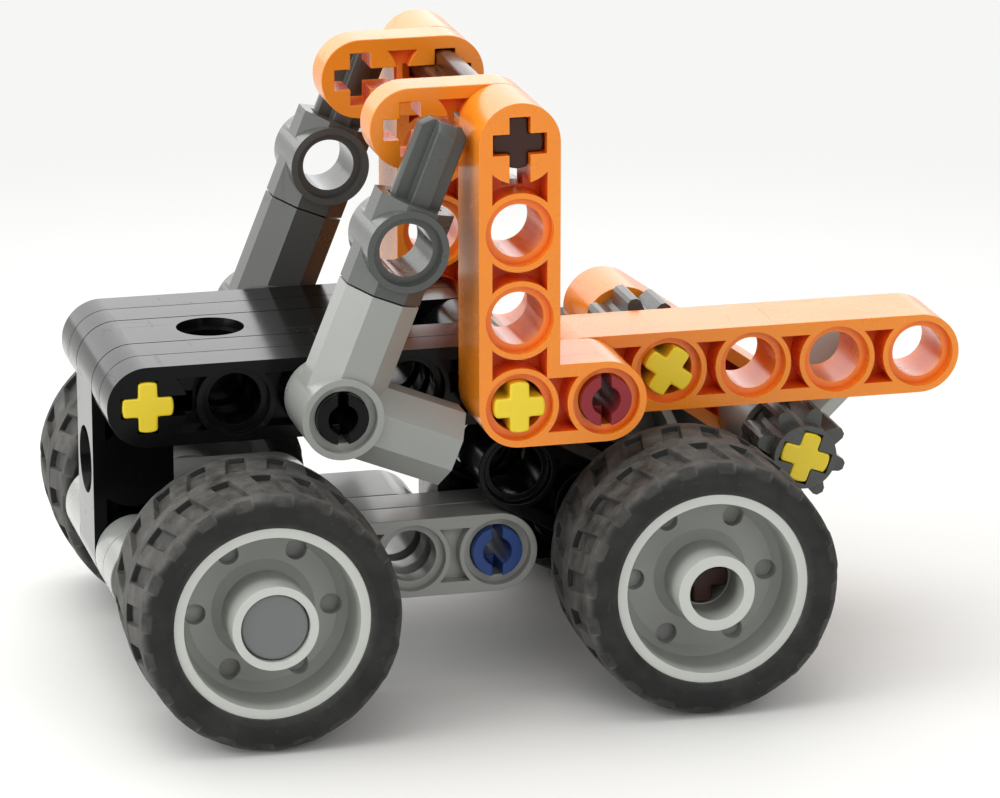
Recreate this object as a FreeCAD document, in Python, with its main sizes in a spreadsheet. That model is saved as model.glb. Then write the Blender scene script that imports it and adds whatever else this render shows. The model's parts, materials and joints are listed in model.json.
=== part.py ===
import FreeCAD, Part
import Sketcher
import os
import math

V = FreeCAD.Vector
os.makedirs("parts", exist_ok=True)
doc = FreeCAD.newDocument("toy_truck")

# Driving dimensions in millimetres and degrees, kept in one sheet.
DIMENSIONS = [
    ("pitch", 8.0),
    ("beam_width", 7.4),
    ("beam_depth", 7.8),
    ("plate_depth", 3.9),
    ("shaft_radius", 2.35),
    ("shaft_play", 0.05),
    ("arm_thickness", 1.8),
    ("arm_play", 0.05),
    ("collar_radius", 3.0),
    ("collar_play", 0.1),
    ("collar_depth", 0.9),
    ("recess_wall", 0.5),
    ("recess_half_height", 2.5),
    ("recess_depth", 2.9),
    ("plate_recess_depth", 1.3),
    ("slot_overrun", 0.12),
    ("pin_bore", 1.3),
    ("pin_slot", 0.9),
    ("pin_slot_depth", 3.2),
    ("end_setback", 0.15),
    ("tyre_radius", 12.0),
    ("tyre_width", 14.0),
    ("tyre_shoulder", 1.2),
    ("tread_depth", 0.7),
    ("tread_gap", 0.9),
    ("tread_blocks", 22),
    ("tread_rib", 0.6),
    ("rim_radius", 8.8),
    ("rim_lip", 0.9),
    ("rim_dish", 4.3),
    ("rim_draft", 0.4),
    ("rim_corner", 0.8),
    ("rim_web", 2.2),
    ("front_hub_radius", 3.85),
    ("rear_hub_radius", 3.5),
    ("hub_stand", 1.3),
    ("hub_recess", 4.6),
    ("cap_recess", 0.35),
    ("cap_depth", 1.2),
    ("rim_hole_radius", 0.95),
    ("rim_hole_circle", 6.1),
    ("rim_hole_count", 6),
    ("track_half", 20.45),
    ("wheel_gap", 0.3),
    ("front_axle_column", -3),
    ("rear_axle_column", 2),
    ("corner_offset", -3.85),
    ("gear_tip_radius", 4.4),
    ("gear_hub_radius", 3.0),
    ("tooth_root_width", 2.0),
    ("tooth_tip_width", 1.2),
    ("tooth_tip_round", 0.3),
    ("gear_face", 5.2),
    ("gear_teeth", 8),
    ("socket_length", 1.4),
    ("socket_flats", 7.0),
    ("cage_lean", 68.2),
    ("pillar_sleeve", 3.95),
    ("pillar_reach", 3.44),
    ("axle_chamfer", 0.8),
    ("roof_axle_inset", 0.8),
    ("hoist_drop", 35.0),
    ("tip_turn", 20.0),
    ("tow_rise", 44.0),
    ("link_rise", 28.1),
]

sheet = doc.addObject("Spreadsheet::Sheet", "dims")
for row, (alias, number) in enumerate(DIMENSIONS, start=1):
    sheet.set("A%d" % row, alias)
    sheet.set("B%d" % row, repr(number))
    sheet.setAlias("B%d" % row, alias)
doc.recompute()


class Size:
    """A length that carries its value and the sheet expression that gives it."""

    def __init__(self, value, text):
        self.value = value
        self.text = text

    def __add__(self, other):
        other = as_size(other)
        return Size(self.value + other.value, "(%s + %s)" % (self.text, other.text))

    def __radd__(self, other):
        return as_size(other) + self

    def __sub__(self, other):
        other = as_size(other)
        return Size(self.value - other.value, "(%s - %s)" % (self.text, other.text))

    def __rsub__(self, other):
        return as_size(other) - self

    def __mul__(self, other):
        other = as_size(other)
        return Size(self.value * other.value, "(%s * %s)" % (self.text, other.text))

    def __rmul__(self, other):
        return as_size(other) * self

    def __truediv__(self, other):
        other = as_size(other)
        return Size(self.value / other.value, "(%s / %s)" % (self.text, other.text))

    def __neg__(self):
        return Size(-self.value, "(0 - %s)" % self.text)


def as_size(number):
    if isinstance(number, Size):
        return number
    return Size(float(number), "%r" % number if number >= 0 else "(0 - %r)" % -number)


def cell(alias):
    return Size(float(sheet.get(alias)), "dims.%s" % alias)


def sine(angle):
    return Size(math.sin(math.radians(angle.value)), "sin(%s * 1 deg)" % angle.text)


def cosine(angle):
    return Size(math.cos(math.radians(angle.value)), "cos(%s * 1 deg)" % angle.text)


ZERO = as_size(0)
pitch = cell("pitch")
beam_width = cell("beam_width")
beam_depth = cell("beam_depth")
plate_depth = cell("plate_depth")
shaft_radius = cell("shaft_radius")
hole_radius = shaft_radius + cell("shaft_play")
arm_thickness = cell("arm_thickness")
slot_width = arm_thickness + 2 * cell("arm_play")
slot_reach = hole_radius + cell("arm_play")
collar_radius = cell("collar_radius")
counterbore_radius = collar_radius + cell("collar_play")
collar_depth = cell("collar_depth")
ring_radius = counterbore_radius + cell("recess_wall")
recess_half_height = cell("recess_half_height")
end_setback = cell("end_setback")
tyre_radius = cell("tyre_radius")
tyre_width = cell("tyre_width")
rim_radius = cell("rim_radius")
socket_flats = cell("socket_flats")
half_thin = plate_depth / 2
slot_end = pitch - ring_radius - cell("slot_overrun")
OCTAGON_SIDES = 8
half_facet = as_size(180 / OCTAGON_SIDES)

MIDDLE_ROW = 2.5
AXLE_LEVEL = -2
hub_inner_reach = cell("track_half") - (MIDDLE_ROW - 1) * pitch - cell("wheel_gap")


def grid_x(column):
    return cell("corner_offset") + column * pitch


def grid_y(row_number):
    return (as_size(row_number) - MIDDLE_ROW) * pitch


def grid_z(level):
    return tyre_radius + (as_size(level) - AXLE_LEVEL) * pitch


# Placing and binding.
def bind(thing, property_name, size):
    size = as_size(size)
    thing.setExpression(property_name, size.text)


def place(thing, x, y, z, turn=None, axis=V(0, -1, 0)):
    """Sets the place by the grid; turn is in degrees about the axis, which points to the left side."""
    if turn is not None:
        thing.Placement = FreeCAD.Placement(V(0, 0, 0), FreeCAD.Rotation(axis, as_size(turn).value))
        bind(thing, "Placement.Rotation.Angle", turn)
    bind(thing, "Placement.Base.x", x)
    bind(thing, "Placement.Base.y", y)
    bind(thing, "Placement.Base.z", z)


# Sketch helpers: each point is tied to the sheet.
def origin_feature(body, role):
    return [item for item in body.Origin.OriginFeatures if item.Role == role][0]


def new_body(label):
    body = doc.addObject("PartDesign::Body", label)
    body.Label = label
    return body


def new_sketch(body, name, role="XZ_Plane", offset=None):
    sketch = body.newObject("Sketcher::SketchObject", name)
    sketch.AttachmentSupport = [(origin_feature(body, role), "")]
    sketch.MapMode = "FlatFace"
    if offset is not None:
        sketch.AttachmentOffset = FreeCAD.Placement(V(0, 0, as_size(offset).value), FreeCAD.Rotation())
        bind(sketch, "AttachmentOffset.Base.z", offset)
    return sketch


def datum(sketch, kind, *arguments):
    size = as_size(arguments[-1])
    index = sketch.addConstraint(Sketcher.Constraint(kind, *arguments[:-1], size.value))
    sketch.setExpression("Constraints[%d]" % index, size.text)


def tie(sketch, kind, *where):
    sketch.addConstraint(Sketcher.Constraint(kind, *where))


def fix_point(sketch, shape_index, point_index, across, up):
    """Ties a point of the sketch to its distances from the origin."""
    across = as_size(across)
    up = as_size(up)
    if across.text in ("0", "0.0"):
        tie(sketch, "PointOnObject", shape_index, point_index, -2)
    else:
        datum(sketch, "DistanceX", -1, 1, shape_index, point_index, across)
    if up.text in ("0", "0.0"):
        tie(sketch, "PointOnObject", shape_index, point_index, -1)
    else:
        datum(sketch, "DistanceY", -1, 1, shape_index, point_index, up)


def draw_circle(sketch, across, up, radius):
    across, up, radius = as_size(across), as_size(up), as_size(radius)
    circle = Part.Circle(V(across.value, up.value, 0), V(0, 0, 1), radius.value)
    index = sketch.addGeometry(circle, False)
    fix_point(sketch, index, 3, across, up)
    datum(sketch, "Radius", index, radius)
    return index


def draw_polygon(sketch, corners):
    corners = [(as_size(a), as_size(b)) for a, b in corners]
    first = sketch.GeometryCount
    for number, (a, b) in enumerate(corners):
        c, d = corners[(number + 1) % len(corners)]
        sketch.addGeometry(Part.LineSegment(V(a.value, b.value, 0), V(c.value, d.value, 0)), False)
    for number, (a, b) in enumerate(corners):
        before = first + (number - 1) % len(corners)
        tie(sketch, "Coincident", before, 2, first + number, 1)
        fix_point(sketch, first + number, 1, a, b)


def draw_box(sketch, left, right, low, high):
    draw_polygon(sketch, [(left, low), (right, low), (right, high), (left, high)])


def arc(sketch, across, up, radius, start, end):
    circle = Part.Circle(V(across.value, up.value, 0), V(0, 0, 1), radius.value)
    return sketch.addGeometry(Part.ArcOfCircle(circle, math.radians(start), math.radians(end)), False)


def line_between(sketch, one, one_end, two, two_end):
    start = sketch.getPoint(one, one_end)
    end = sketch.getPoint(two, two_end)
    return sketch.addGeometry(Part.LineSegment(start, end), False)


def draw_slot(sketch, length, radius, upright):
    """A round-ended outline from the origin along the beam."""
    turn = 90 if upright else 0
    far = (ZERO, length) if upright else (length, ZERO)
    near_arc = arc(sketch, ZERO, ZERO, radius, 90 + turn, 270 + turn)
    far_arc = arc(sketch, far[0], far[1], radius, -90 + turn, 90 + turn)
    one = line_between(sketch, near_arc, 2, far_arc, 1)
    two = line_between(sketch, far_arc, 2, near_arc, 1)
    tie(sketch, "Tangent", near_arc, 2, one, 1)
    tie(sketch, "Tangent", one, 2, far_arc, 1)
    tie(sketch, "Tangent", far_arc, 2, two, 1)
    tie(sketch, "Tangent", two, 2, near_arc, 1)
    tie(sketch, "Coincident", near_arc, 3, -1, 1)
    fix_point(sketch, far_arc, 3, far[0], far[1])
    tie(sketch, "Equal", near_arc, far_arc)
    datum(sketch, "Radius", near_arc, radius)


def draw_recess(sketch, start, upright):
    """The waisted recess between two hole rings."""
    spread = math.degrees(math.asin(recess_half_height.value / ring_radius.value))
    turn = 90 if upright else 0
    one = (ZERO, start) if upright else (start, ZERO)
    two = (ZERO, start + pitch) if upright else (start + pitch, ZERO)
    first = arc(sketch, one[0], one[1], ring_radius, turn - spread, turn + spread)
    second = arc(sketch, two[0], two[1], ring_radius, turn + 180 - spread, turn + 180 + spread)
    top = line_between(sketch, first, 2, second, 1)
    bottom = line_between(sketch, second, 2, first, 1)
    tie(sketch, "Coincident", first, 2, top, 1)
    tie(sketch, "Coincident", top, 2, second, 1)
    tie(sketch, "Coincident", second, 2, bottom, 1)
    tie(sketch, "Coincident", bottom, 2, first, 1)
    fix_point(sketch, first, 3, one[0], one[1])
    fix_point(sketch, second, 3, two[0], two[1])
    datum(sketch, "Radius", first, ring_radius)
    tie(sketch, "Equal", first, second)
    along = "Vertical" if upright else "Horizontal"
    across = "DistanceX" if upright else "DistanceY"
    tie(sketch, along, top)
    tie(sketch, along, bottom)
    sign = -1 if upright else 1
    datum(sketch, across, -1, 1, first, 2, sign * recess_half_height)
    datum(sketch, across, -1, 1, first, 1, -1 * sign * recess_half_height)


# Feature helpers.
def pad(body, sketch, length):
    feature = body.newObject("PartDesign::Pad", sketch.Name + "_pad")
    feature.Profile = sketch
    feature.Midplane = True
    bind(feature, "Length", length)
    sketch.Visibility = False
    return feature


def cut_through(body, sketch):
    feature = body.newObject("PartDesign::Pocket", sketch.Name + "_cut")
    feature.Profile = sketch
    feature.Type = "ThroughAll"
    feature.Midplane = True
    return feature


def cut_blind(body, sketch, depth, turned):
    feature = body.newObject("PartDesign::Pocket", sketch.Name + "_cut")
    feature.Profile = sketch
    feature.Type = "Length"
    feature.Reversed = turned
    bind(feature, "Length", depth)
    return feature


def both_faces(body, name, thickness, depth, draw):
    """Cuts the same drawing into the two flat faces of a beam."""
    for side, sign in (("left", 1), ("right", -1)):
        sketch = new_sketch(body, body.Name + name + side, offset=sign * thickness / 2)
        draw(sketch)
        cut_blind(body, sketch, depth, sign < 0)


def beam(label, along, up=0, crosses=(), turned_holes=(), thickness=beam_depth, recess=None):
    """A beam with holes at every pitch; an L when it also has an upright arm.

    crosses names the holes, as (column, level), that take a cross axle, and turned_holes
    those that run across the beam in its own plane.
    """
    body = new_body(label)
    radius = beam_width / 2
    if along:
        outline = new_sketch(body, label + "_outline")
        draw_slot(outline, along * pitch, radius, False)
        pad(body, outline, thickness)
    if up:
        upright = new_sketch(body, label + "_upright")
        draw_slot(upright, up * pitch, radius, True)
        pad(body, upright, thickness)
    places = [(column, 0) for column in range(along + 1)] + [(0, level) for level in range(1, up + 1)]
    special = list(crosses) + list(turned_holes)
    round_places = [place_of for place_of in places if place_of not in special]

    def rings(sketch, ring_size):
        for column, level in round_places:
            across = column * pitch if column else ZERO
            rise = level * pitch if level else ZERO
            draw_circle(sketch, across, rise, ring_size)

    if round_places:
        holes = new_sketch(body, label + "_holes")
        rings(holes, hole_radius)
        cut_through(body, holes)
        both_faces(body, "_counterbore_", thickness, collar_depth,
                   lambda sketch: rings(sketch, counterbore_radius))

    def recesses(sketch):
        for column in range(along):
            draw_recess(sketch, column * pitch if column else ZERO, False)
        for level in range(up):
            draw_recess(sketch, level * pitch if level else ZERO, True)

    both_faces(body, "_recess_", thickness, recess if recess else cell("recess_depth"), recesses)
    if crosses:
        cut_crosses(body, label, crosses, along, up)
    for column, level in turned_holes:
        cut_turned_hole(body, "%s_turned_%d_%d" % (label, column, level), column, level)
    return body


def cut_turned_hole(body, name, column, level):
    """A counterbored hole in the plane of an L: up through its level arm, or across the upright one."""
    plane = "XY_Plane" if column else "YZ_Plane"
    across = column * pitch if column else ZERO
    rise = level * pitch if level else ZERO
    sketch = new_sketch(body, name, plane)
    draw_circle(sketch, across, rise, hole_radius)
    cut_through(body, sketch)
    for side, sign in (("near", 1), ("far", -1)):
        seat = new_sketch(body, "%s_%s_seat" % (name, side), plane, offset=sign * beam_width / 2)
        draw_circle(seat, across, rise, counterbore_radius)
        cut_blind(body, seat, collar_depth, sign < 0)


def cut_crosses(body, label, crosses, along, up):
    """Cross holes; the arm that points along the beam runs on into the next recess."""
    half = slot_width / 2
    level_bars = new_sketch(body, label + "_level_bars")
    upright_bars = new_sketch(body, label + "_upright_bars")
    for column, level in crosses:
        centre = column * pitch
        height = level * pitch
        left, right = slot_reach, slot_reach
        low, high = slot_reach, slot_reach
        if level == 0 and column == 0 and along:
            right = slot_end
        elif level == 0 and column == along:
            left = slot_end
        elif column == 0 and level == up:
            low = slot_end
        draw_box(level_bars, centre - left, centre + right, height - half, height + half)
        draw_box(upright_bars, centre - half, centre + half, height - low, height + high)
    cut_through(body, level_bars)
    cut_through(body, upright_bars)


# Cross axles and pins lie along Y, centred on their middle.
def cross_axle(label, length):
    arms = []
    for name, wide, tall in (("level", 2 * shaft_radius, arm_thickness),
                             ("upright", arm_thickness, 2 * shaft_radius)):
        bar = doc.addObject("Part::Box", "%s_%s" % (label, name))
        bind(bar, "Length", wide)
        bind(bar, "Width", length)
        bind(bar, "Height", tall)
        bind(bar, "Placement.Base.x", -wide / 2)
        bind(bar, "Placement.Base.y", -length / 2)
        bind(bar, "Placement.Base.z", -tall / 2)
        arms.append(bar)
    bars = doc.addObject("Part::MultiFuse", label + "_bars")
    bars.Shapes = arms
    bars.Refine = True
    round_bar = rod(label + "_envelope", shaft_radius, length)
    axle = doc.addObject("Part::Common", label)
    axle.Base = bars
    axle.Tool = round_bar
    axle.Label = label
    return axle


def rod(name, radius, length, middle=ZERO):
    """A cylinder along Y, centred at middle."""
    cylinder = doc.addObject("Part::Cylinder", name)
    bind(cylinder, "Radius", radius)
    bind(cylinder, "Height", length)
    cylinder.Placement = FreeCAD.Placement(V(0, 0, 0), FreeCAD.Rotation(V(1, 0, 0), -90))
    bind(cylinder, "Placement.Base.y", as_size(middle) - as_size(length) / 2)
    return cylinder


def block(name, wide, deep, tall, x=ZERO, y=ZERO, z=ZERO):
    """A box centred at x, y, z."""
    box = doc.addObject("Part::Box", name)
    for property_name, size in (("Length", wide), ("Width", deep), ("Height", tall)):
        bind(box, property_name, size)
    bind(box, "Placement.Base.x", as_size(x) - as_size(wide) / 2)
    bind(box, "Placement.Base.y", as_size(y) - as_size(deep) / 2)
    bind(box, "Placement.Base.z", as_size(z) - as_size(tall) / 2)
    return box


def fuse(name, shapes):
    result = doc.addObject("Part::MultiFuse", name)
    result.Shapes = shapes
    result.Refine = True
    return result


def cut(name, base, tool):
    result = doc.addObject("Part::Cut", name)
    result.Base = base
    result.Tool = tool
    result.Refine = True
    return result


def leaning_axle(label, start, end):
    """A cross axle along local Z from start to end, where it is chamfered."""
    bars = []
    for name, wide, deep in (("flat", arm_thickness, 2 * shaft_radius), ("tall", 2 * shaft_radius, arm_thickness)):
        bars.append(block("%s_%s" % (label, name), wide, deep, end - start, z=(start + end) / 2))
    chamfer = cell("axle_chamfer")
    barrel = doc.addObject("Part::Cylinder", label + "_barrel")
    bind(barrel, "Radius", shaft_radius)
    bind(barrel, "Height", end - start - chamfer)
    bind(barrel, "Placement.Base.z", start)
    point = doc.addObject("Part::Cone", label + "_point")
    bind(point, "Radius1", shaft_radius)
    bind(point, "Radius2", shaft_radius - chamfer)
    bind(point, "Height", chamfer)
    bind(point, "Placement.Base.z", end - chamfer)
    envelope = fuse(label + "_envelope", [barrel, point])
    axle = doc.addObject("Part::Common", label)
    axle.Base = fuse(label + "_bars", bars)
    axle.Tool = envelope
    axle.Label = label
    return axle


def wheel_axle(label, capped):
    """A cross axle for a pair of wheels; a capped one has round heads in the hubs."""
    hub_face = tyre_width / 2 - cell("tyre_shoulder") / 2 + cell("hub_stand")
    if not capped:
        return cross_axle(label, 2 * (cell("track_half") + hub_face - cell("hub_recess")))
    head_seat = cell("track_half") + hub_face - cell("cap_recess") - cell("cap_depth")
    shaft = cross_axle(label + "_shaft", 2 * head_seat)
    heads = []
    for sign in (-1, 1):
        middle = sign * (head_seat + cell("cap_depth") / 2)
        heads.append(rod("%s_head_%d" % (label, sign), collar_radius, cell("cap_depth"), middle))
    axle = fuse(label, [shaft] + heads)
    axle.Label = label
    return axle


def pin(label, modules, collars):
    """A hollow pin; collars lists where its collars sit, in modules from its middle."""
    length = modules * pitch - 2 * end_setback
    solids = [rod(label + "_shank", shaft_radius, length)]
    for number, where in enumerate(collars):
        width = 2 * (collar_depth - cell("collar_play")) + pitch - beam_depth
        solids.append(rod("%s_collar_%d" % (label, number), collar_radius, width, where * pitch))
    solid = fuse(label + "_solid", solids)
    tools = [rod(label + "_bore", cell("pin_bore"), modules * pitch)]
    depth = cell("pin_slot_depth")
    for side in (-1, 1):
        middle = side * (length - depth) / 2
        tools.append(block("%s_slot_%d" % (label, side), cell("pin_slot"), depth + end_setback,
                           2 * shaft_radius + end_setback, y=middle + side * end_setback / 2))
    result = cut(label, solid, fuse(label + "_tools", tools))
    result.Label = label
    return result


# Angled connectors: a hub with a pin hole along Y and octagonal sockets across it.
def socket_arm(name, start, end, turn):
    """An octagonal bar and the cross hole in it, at turn degrees in the side view."""
    bar = doc.addObject("Part::Prism", name + "_bar")
    bar.Polygon = OCTAGON_SIDES
    bind(bar, "Circumradius", socket_flats / 2 / cosine(half_facet))
    bind(bar, "Height", end - start)
    tools = []
    for part_name, wide, deep in (("flat", slot_width, 2 * slot_reach), ("tall", 2 * slot_reach, slot_width)):
        tool = doc.addObject("Part::Box", "%s_%s" % (name, part_name))
        bind(tool, "Length", wide)
        bind(tool, "Width", deep)
        bind(tool, "Height", end - start)
        bind(tool, "Placement.Base.x", -wide / 2)
        bind(tool, "Placement.Base.y", -deep / 2)
        tools.append(tool)
    cross = fuse(name + "_cross", tools)
    for thing in (bar, cross):
        direction = as_size(turn) - 90
        tilt = FreeCAD.Rotation(V(0, -1, 0), direction.value)
        spin = FreeCAD.Rotation(V(0, 0, 1), half_facet.value if thing is bar else 0)
        thing.Placement = FreeCAD.Placement(V(0, 0, 0), tilt * spin)
        bind(thing, "Placement.Base.x", start * cosine(as_size(turn)))
        bind(thing, "Placement.Base.z", start * sine(as_size(turn)))
    return bar, cross


def connector(label, arms):
    """arms: (start, end, turn) of each socket; the cross holes stop at the hub's wall."""
    solids = [rod(label + "_hub", beam_width / 2, beam_depth)]
    tools = [rod(label + "_hole", hole_radius, 2 * beam_depth)]
    for side in (-1, 1):
        middle = side * (beam_depth - collar_depth) / 2
        tools.append(rod("%s_counterbore_%d" % (label, side), counterbore_radius, collar_depth, middle))
    for number, (start, end, turn) in enumerate(arms):
        bar, cross = socket_arm("%s_arm_%d" % (label, number), ZERO, end, turn)
        solids.append(bar)
        inner, cross = socket_arm("%s_socket_%d" % (label, number), start, end, turn)
        doc.removeObject(inner.Name)
        tools.append(cross)
    result = cut(label, fuse(label + "_solid", solids), fuse(label + "_tools", tools))
    result.Label = label
    return result


def gear(label):
    body = new_body(label)
    hub = new_sketch(body, label + "_hub")
    draw_circle(hub, 0, 0, cell("gear_hub_radius"))
    pad(body, hub, beam_depth)
    tooth = new_sketch(body, label + "_tooth")
    foot = cell("gear_hub_radius") - cell("recess_wall")
    tip = cell("gear_tip_radius")
    root_half = cell("tooth_root_width") / 2
    tip_half = cell("tooth_tip_width") / 2
    corner = cell("tooth_tip_round")
    draw_polygon(tooth, [(-root_half, foot), (root_half, foot), (tip_half, tip - corner), (tip_half - corner, tip),
                         (corner - tip_half, tip), (-tip_half, tip - corner)])
    tooth_pad = pad(body, tooth, cell("gear_face"))
    doc.recompute()
    pattern = body.newObject("PartDesign::PolarPattern", label + "_teeth")
    pattern.Originals = [tooth_pad]
    pattern.Axis = (origin_feature(body, "Y_Axis"), [""])
    pattern.Angle = 360
    bind(pattern, "Occurrences", cell("gear_teeth"))
    body.Tip = pattern
    half = slot_width / 2
    for name, wide_half, tall_half in (("level", slot_reach, half), ("upright", half, slot_reach)):
        slot_sketch = new_sketch(body, "%s_%s_slot" % (label, name))
        draw_box(slot_sketch, -wide_half, wide_half, -tall_half, tall_half)
        cut_through(body, slot_sketch)
    return body


# Wheels: local Y points away from the vehicle, with the middle of the tyre at zero.
def revolve(body, sketch):
    feature = body.newObject("PartDesign::Revolution", sketch.Name + "_turned")
    feature.Profile = sketch
    feature.ReferenceAxis = (sketch, ["H_Axis"])
    feature.Angle = 360
    return feature


def tyre(label):
    """A tyre with two rows of tread blocks, one row half a step on from the other."""
    body = new_body(label)
    profile = new_sketch(body, label + "_profile", "YZ_Plane")
    half = tyre_width / 2
    shoulder = cell("tyre_shoulder")
    groove_floor = tyre_radius - cell("tread_depth")
    inner = rim_radius
    side = half - shoulder / 2
    draw_polygon(profile, [(-side, inner), (side, inner), (half, inner + shoulder), (half, groove_floor),
                           (half - shoulder, tyre_radius), (-half + shoulder, tyre_radius),
                           (-half, groove_floor), (-half, inner + shoulder)])
    revolve(body, profile)
    gap = cell("tread_gap") / 2
    count = cell("tread_blocks")
    half_step = as_size(180) / count
    top = tyre_radius + cell("tread_depth")
    width = half + shoulder - cell("tread_rib")
    for name, start, turn in (("outer", half + shoulder, ZERO), ("inner", -cell("tread_rib"), half_step)):
        groove = new_sketch(body, "%s_%s_groove" % (label, name), offset=start)
        corners = [(-gap, groove_floor), (gap, groove_floor), (gap, top), (-gap, top)]
        draw_polygon(groove, [(a * cosine(turn) + b * sine(turn), b * cosine(turn) - a * sine(turn))
                              for a, b in corners])
        pocket = cut_blind(body, groove, width, False)
        doc.recompute()
        pattern = body.newObject("PartDesign::PolarPattern", "%s_%s_tread" % (label, name))
        pattern.Originals = [pocket]
        pattern.Axis = (origin_feature(body, "Y_Axis"), [""])
        pattern.Angle = 360
        bind(pattern, "Occurrences", count)
        body.Tip = pattern
    return body


def rim(label, sign, capped):
    """sign is -1 for a left wheel, whose outer face looks towards -Y."""
    body = new_body(label)
    profile = new_sketch(body, label + "_profile", "YZ_Plane")
    outer = (tyre_width / 2 - cell("tyre_shoulder") / 2) * sign
    web_face = outer - cell("rim_dish") * sign
    web_back = web_face - cell("rim_web") * sign
    hub_face = outer + cell("hub_stand") * sign
    hub_radius = cell("front_hub_radius") if capped else cell("rear_hub_radius")
    corner = cell("rim_corner")
    hub_back = -hub_inner_reach * sign
    lip = rim_radius - cell("rim_lip")
    barrel = lip - cell("rim_draft")
    seat = counterbore_radius if capped else hole_radius + cell("collar_play")
    seat_depth = cell("cap_recess") + cell("cap_depth") if capped else cell("hub_recess")
    seat_floor = hub_face - seat_depth * sign
    draw_polygon(profile, [(hub_back, hole_radius), (seat_floor, hole_radius), (seat_floor, seat),
                           (hub_face, seat), (hub_face, hub_radius), (web_face + corner * sign, hub_radius),
                           (web_face, hub_radius + corner), (web_face, barrel - corner),
                           (web_face + corner * sign, barrel), (outer, lip), (outer, rim_radius), (-outer, rim_radius),
                           (-outer, lip), (web_back, lip), (web_back, hub_radius), (hub_back, hub_radius)])
    revolve(body, profile)
    hole = new_sketch(body, label + "_hole")
    draw_circle(hole, cell("rim_hole_circle"), 0, cell("rim_hole_radius"))
    cutter = cut_through(body, hole)
    doc.recompute()
    pattern = body.newObject("PartDesign::PolarPattern", label + "_hole_ring")
    pattern.Originals = [cutter]
    pattern.Axis = (origin_feature(body, "Y_Axis"), [""])
    pattern.Angle = 360
    bind(pattern, "Occurrences", cell("rim_hole_count"))
    body.Tip = pattern
    return body


subparts = []


def keep(thing, x, y, z, turn=None):
    place(thing, x, y, z, turn)
    subparts.append(thing)
    return thing


# Posts, roof and the two lengthwise cross axles.
for label, row_number in (("left_post", 0.5), ("right_post", 4.5)):
    keep(beam(label, 1, 3, crosses=[(0, 3)]), grid_x(0), grid_y(row_number), grid_z(0))
for label, row_number in (("left_roof_link", 1), ("right_roof_link", 4)):
    inward = half_thin if row_number == 1 else -half_thin
    link = beam(label, 1, crosses=[(0, 0), (1, 0)], thickness=plate_depth, recess=cell("plate_recess_depth"))
    keep(link, grid_x(-1), grid_y(row_number) + inward, grid_z(3))
keep(cross_axle("roof_axle", 5 * pitch - 2 * cell("roof_axle_inset")), grid_x(0), ZERO, grid_z(3))
keep(cross_axle("main_cross_axle", 5 * pitch), grid_x(0), ZERO, grid_z(0))
keep(cross_axle("front_cross_axle", 3 * pitch), grid_x(-4), ZERO, grid_z(0))

# Bonnet: four thin plates around a bent spine.
PLATES = [("bonnet_plate_left_outer", 1.25), ("bonnet_plate_left_inner", 1.75),
          ("bonnet_plate_right_inner", 3.25), ("bonnet_plate_right_outer", 3.75)]
for label, row_number in PLATES:
    plate = beam(label, 4, crosses=[(0, 0), (4, 0)], thickness=plate_depth, recess=cell("plate_recess_depth"))
    keep(plate, grid_x(-4), grid_y(row_number), grid_z(0))
spine = beam("bonnet_spine", 2, 3, crosses=[(0, 0)], turned_holes=[(1, 0), (0, 1)])
keep(spine, grid_x(-4), grid_y(MIDDLE_ROW), grid_z(0), turn=-90)

# Chassis.
for label, row_number in (("chassis_plate_outer", 1.25), ("chassis_plate_inner", 1.75)):
    plate = beam(label, 4, thickness=plate_depth, recess=cell("plate_recess_depth"))
    keep(plate, grid_x(-4), grid_y(row_number), grid_z(AXLE_LEVEL))
keep(beam("chassis_centre_beam", 2), grid_x(-3), grid_y(MIDDLE_ROW), grid_z(AXLE_LEVEL))
keep(beam("chassis_right_beam", 2), grid_x(-4), grid_y(3.5), grid_z(AXLE_LEVEL))
keep(beam("rear_frame", 2, 2, crosses=[(0, 2)]), grid_x(0), grid_y(MIDDLE_ROW), grid_z(AXLE_LEVEL))
for label, row_number in (("rear_link_left", 1.5), ("rear_link_right", 3.5)):
    keep(beam(label, 2), grid_x(2), grid_y(row_number), grid_z(AXLE_LEVEL), turn=180 - cell("link_rise"))

# Pins that hold the frame together.
keep(pin("front_foot_pin", 3, (-0.5, 0.5)), grid_x(-4), grid_y(MIDDLE_ROW), grid_z(AXLE_LEVEL))
keep(pin("chassis_rear_pin", 2, (0,)), grid_x(0), grid_y(2), grid_z(AXLE_LEVEL))
keep(pin("chassis_middle_pin", 2, (0,)), grid_x(-2), grid_y(2), grid_z(AXLE_LEVEL))
keep(pin("boom_pin", 2, (0,)), grid_x(1), grid_y(1), grid_z(0))

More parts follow.
